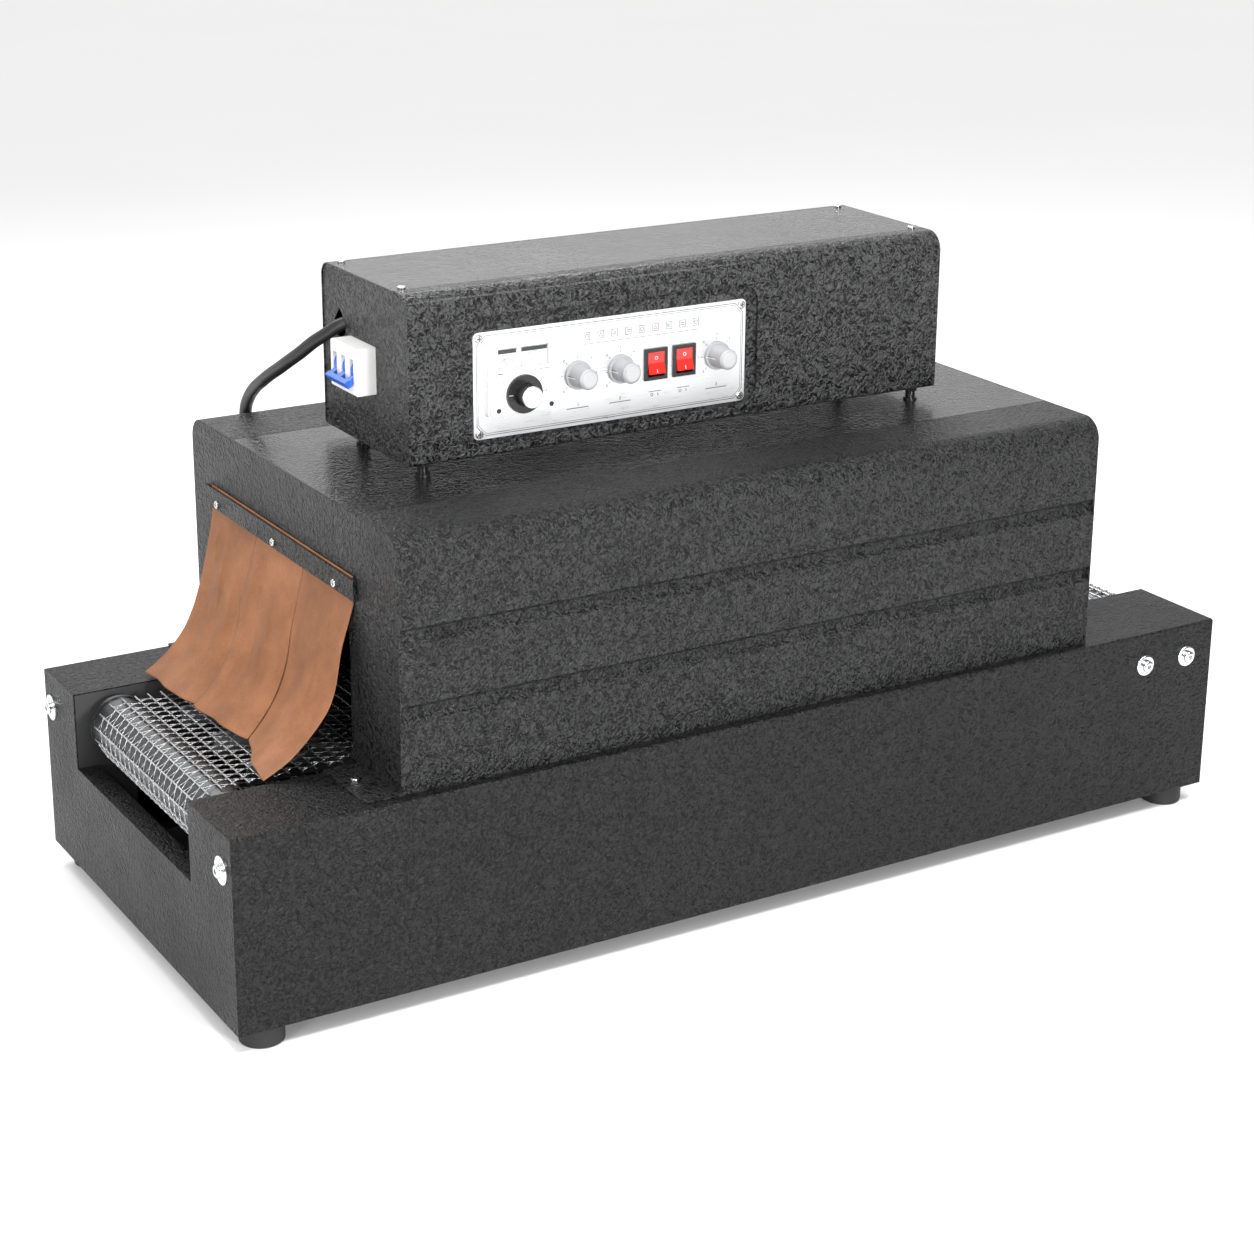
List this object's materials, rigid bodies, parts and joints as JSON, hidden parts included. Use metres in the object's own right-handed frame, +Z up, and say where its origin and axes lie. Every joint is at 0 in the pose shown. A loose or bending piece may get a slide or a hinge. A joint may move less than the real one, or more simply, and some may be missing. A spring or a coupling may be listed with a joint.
{
  "type": "heat shrink tunnel",
  "caption": "Bench-top heat shrink tunnel: a wire-mesh conveyor runs through a heated housing with cloth curtains, under a control box.",
  "frame": {"origin": "centre of the base's footprint on the bench plane, under the rubber feet", "axes": "+X along the conveyor from the entry to the exit, +Y to the back (the control panel faces -Y), +Z up"},
  "size_m": [1.127, 0.5014, 0.6242],
  "materials": {
    "base_paint": "black hammertone powder coat, satin gloss",
    "box_paint": "black hammertone powder coat, coarse and glossy",
    "top_paint": "black gloss paint",
    "inner_paint": "dark grey paint",
    "foot_rubber": "matt",
    "bed_steel": "zinc plated",
    "belt_wire": "bright drawn wire",
    "roller_steel": "turned and polished",
    "bright_screw": "plated, bright",
    "small_screw": "zinc plated",
    "drive_steel": "dark oiled steel",
    "motor_paint": "blue-grey paint",
    "chamber_steel": "aluminised sheet",
    "wool": "mineral wool",
    "heater_quartz": "quartz and ceramic, glossy",
    "curtain_cloth": "copper-brown coated glass cloth, satin",
    "standoff_black": "black oxide",
    "panel_alu": "satin anodised",
    "controller_white": "off-white",
    "dial_black": "black",
    "knob_grey": "silver grey",
    "bezel_black": "black",
    "rocker_red": "red translucent",
    "breaker_white": "white",
    "toggle_blue": "blue",
    "lead_black": "black sheath"
  },
  "bodies": {
    "housing": {"base_front_panel": "base_paint", "base_back_panel": "base_paint", "base_end_panels": "base_paint", "bottom_plate": "inner_paint", "rubber_feet": "foot_rubber", "side_frames": "inner_paint", "belt_bed": "bed_steel", "belt_rods": "belt_wire", "belt_links": "belt_wire", "drive_shaft": "bed_steel", "tie_rod": "bed_steel", "frame_bolts": "bright_screw", "drive_chain": "drive_steel", "gear_motor": "motor_paint", "tunnel_front_cover": "base_paint", "tunnel_back_cover": "base_paint", "tunnel_top_plate": "top_paint", "entry_end_plate": "base_paint", "exit_end_plate": "base_paint", "heat_chamber": "chamber_steel", "insulation_wool": "wool", "heater_tubes": "heater_quartz", "thermocouple": "chamber_steel", "clamp_bars": "base_paint", "curtain_hems": "curtain_cloth", "control_shell": "box_paint", "control_end_plates": "box_paint", "control_top_cover": "top_paint", "standoffs": "standoff_black", "panel_plate": "panel_alu", "controller_case": "controller_white", "switch_bezels": "bezel_black", "breaker_body": "breaker_white", "wiring_lead": "lead_black", "lead_elbow": "lead_black", "pan_screws": "small_screw"},
    "take_up": {"take_up_blocks": "bed_steel", "idler_shaft": "bed_steel"},
    "idler": {"idler_roller": "roller_steel", "idler_bearings": "roller_steel"},
    "front_take_up_screw": {"take_up_screw_front": "bright_screw"},
    "back_take_up_screw": {"take_up_screw_back": "bright_screw"},
    "drive": {"drive_roller": "roller_steel", "drive_bearings": "roller_steel", "roller_sprocket": "drive_steel"},
    "motor_output": {"motor_sprocket": "drive_steel"},
    "return": {"return_roller": "bed_steel"},
    "entry_strip_1": {"entry_strip_front": "curtain_cloth"},
    "entry_strip_2": {"entry_strip_middle": "curtain_cloth"},
    "entry_strip_3": {"entry_strip_back": "curtain_cloth"},
    "exit_strip_1": {"exit_strip_front": "curtain_cloth"},
    "exit_strip_2": {"exit_strip_middle": "curtain_cloth"},
    "exit_strip_3": {"exit_strip_back": "curtain_cloth"},
    "dial": {"controller_dial": "dial_black"},
    "knob_1": {"left_knob": "knob_grey"},
    "knob_2": {"middle_knob": "knob_grey"},
    "knob_3": {"right_knob": "knob_grey"},
    "rocker_1": {"left_rocker": "rocker_red"},
    "rocker_2": {"right_rocker": "rocker_red"},
    "lever": {"breaker_lever": "toggle_blue"}
  },
  "joints": [
    {"name": "take_up_slide", "type": "slide", "parent": "housing", "child": "take_up", "axis": [1, 0, 0], "range_m": [0, 0.01]},
    {"name": "idler_spin", "type": "hinge", "parent": "take_up", "child": "idler", "pos_m": [-0.518, 0.006, 0.174], "axis": [0, 1, 0], "continuous": true},
    {"name": "front_screw_turn", "type": "hinge", "parent": "housing", "child": "front_take_up_screw", "pos_m": [-0.562, -0.218, 0.174], "axis": [1, 0, 0], "range_deg": [-2880, 0]},
    {"name": "back_screw_turn", "type": "hinge", "parent": "housing", "child": "back_take_up_screw", "pos_m": [-0.562, 0.218, 0.174], "axis": [1, 0, 0], "range_deg": [-2880, 0]},
    {"name": "drive_spin", "type": "hinge", "parent": "housing", "child": "drive", "pos_m": [0.525, 0.006, 0.174], "axis": [0, 1, 0], "continuous": true},
    {"name": "motor_spin", "type": "hinge", "parent": "housing", "child": "motor_output", "pos_m": [0.415, -0.158, 0.072], "axis": [0, 1, 0], "continuous": true},
    {"name": "return_spin", "type": "hinge", "parent": "housing", "child": "return", "pos_m": [-0.018, 0.006, 0.13106], "axis": [0, 1, 0], "continuous": true},
    {"name": "entry_swing_1", "type": "hinge", "parent": "housing", "child": "entry_strip_1", "pos_m": [-0.3922, -0.0838, 0.3614], "axis": [0, 1, 0], "range_deg": [0, 70]},
    {"name": "entry_swing_2", "type": "hinge", "parent": "housing", "child": "entry_strip_2", "pos_m": [-0.3922, 0.0255, 0.3614], "axis": [0, 1, 0], "range_deg": [0, 70]},
    {"name": "entry_swing_3", "type": "hinge", "parent": "housing", "child": "entry_strip_3", "pos_m": [-0.3922, 0.1348, 0.3614], "axis": [0, 1, 0], "range_deg": [0, 70]},
    {"name": "exit_swing_1", "type": "hinge", "parent": "housing", "child": "exit_strip_1", "pos_m": [0.3952, -0.0838, 0.3614], "axis": [0, -1, 0], "range_deg": [0, 75]},
    {"name": "exit_swing_2", "type": "hinge", "parent": "housing", "child": "exit_strip_2", "pos_m": [0.3952, 0.0255, 0.3614], "axis": [0, -1, 0], "range_deg": [0, 75]},
    {"name": "exit_swing_3", "type": "hinge", "parent": "housing", "child": "exit_strip_3", "pos_m": [0.3952, 0.1348, 0.3614], "axis": [0, -1, 0], "range_deg": [0, 75]},
    {"name": "dial_turn", "type": "hinge", "parent": "housing", "child": "dial", "pos_m": [-0.189, -0.0858, 0.519], "axis": [0, 1, 0], "range_deg": [-30, 270]},
    {"name": "knob_1_turn", "type": "hinge", "parent": "housing", "child": "knob_1", "pos_m": [-0.126, -0.0768, 0.527], "axis": [0, 1, 0], "range_deg": [-60, 240]},
    {"name": "knob_2_turn", "type": "hinge", "parent": "housing", "child": "knob_2", "pos_m": [-0.079, -0.0768, 0.527], "axis": [0, 1, 0], "range_deg": [-60, 240]},
    {"name": "knob_3_turn", "type": "hinge", "parent": "housing", "child": "knob_3", "pos_m": [0.03, -0.0768, 0.527], "axis": [0, 1, 0], "range_deg": [-60, 240]},
    {"name": "rocker_1_tilt", "type": "hinge", "parent": "housing", "child": "rocker_1", "pos_m": [-0.04, -0.0705, 0.527], "axis": [1, 0, 0], "range_deg": [0, 16]},
    {"name": "rocker_2_tilt", "type": "hinge", "parent": "housing", "child": "rocker_2", "pos_m": [-0.008, -0.0705, 0.527], "axis": [1, 0, 0], "range_deg": [0, 16]},
    {"name": "lever_lift", "type": "hinge", "parent": "housing", "child": "lever", "pos_m": [-0.314, 0.017, 0.538], "axis": [0, 1, 0], "range_deg": [0, 70]}
  ],
  "couplings": [
    {"joint": "front_screw_turn", "follows": "take_up_slide", "rad_per_m": -5026.6},
    {"joint": "back_screw_turn", "follows": "take_up_slide", "rad_per_m": -5026.6},
    {"joint": "idler_spin", "follows": "drive_spin", "ratio": 1},
    {"joint": "motor_spin", "follows": "drive_spin", "ratio": 1.4167},
    {"joint": "return_spin", "follows": "drive_spin", "ratio": -2.4867}
  ]
}
